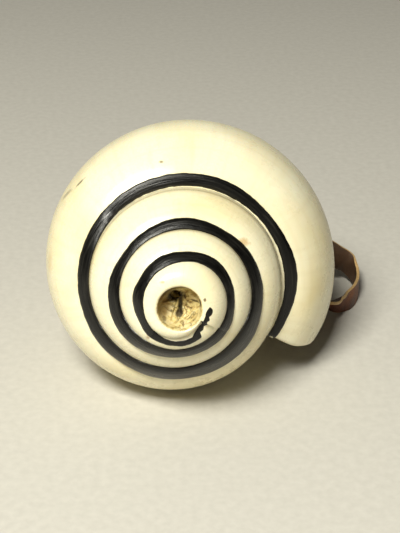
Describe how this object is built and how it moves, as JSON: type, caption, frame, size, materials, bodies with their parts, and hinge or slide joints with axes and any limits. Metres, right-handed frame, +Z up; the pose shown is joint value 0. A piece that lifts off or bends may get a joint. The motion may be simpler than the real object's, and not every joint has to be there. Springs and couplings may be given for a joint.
{
  "type": "conch shell",
  "caption": "White conch shell trumpet with a ground and cupped mouth hole at the spire, black lac filling the spiral seam, and a leather carrying loop through the lip.",
  "frame": {"origin": "on the surface that the shell lies on, under the middle of the whole object", "axes": "+Z up; +Y from the spire towards the canal, along the shell's length; +X towards the lip and the carrying loop"},
  "size_m": [0.1036, 0.1442, 0.0767],
  "materials": {
    "shell": "polished ivory white shell",
    "lac": "black lac, glossy and laid by hand",
    "leather": "brown leather with pale cut edges"
  },
  "bodies": {
    "root": {"shell": "shell", "suture_inlay": "lac", "strap": "leather"}
  },
  "joints": []
}
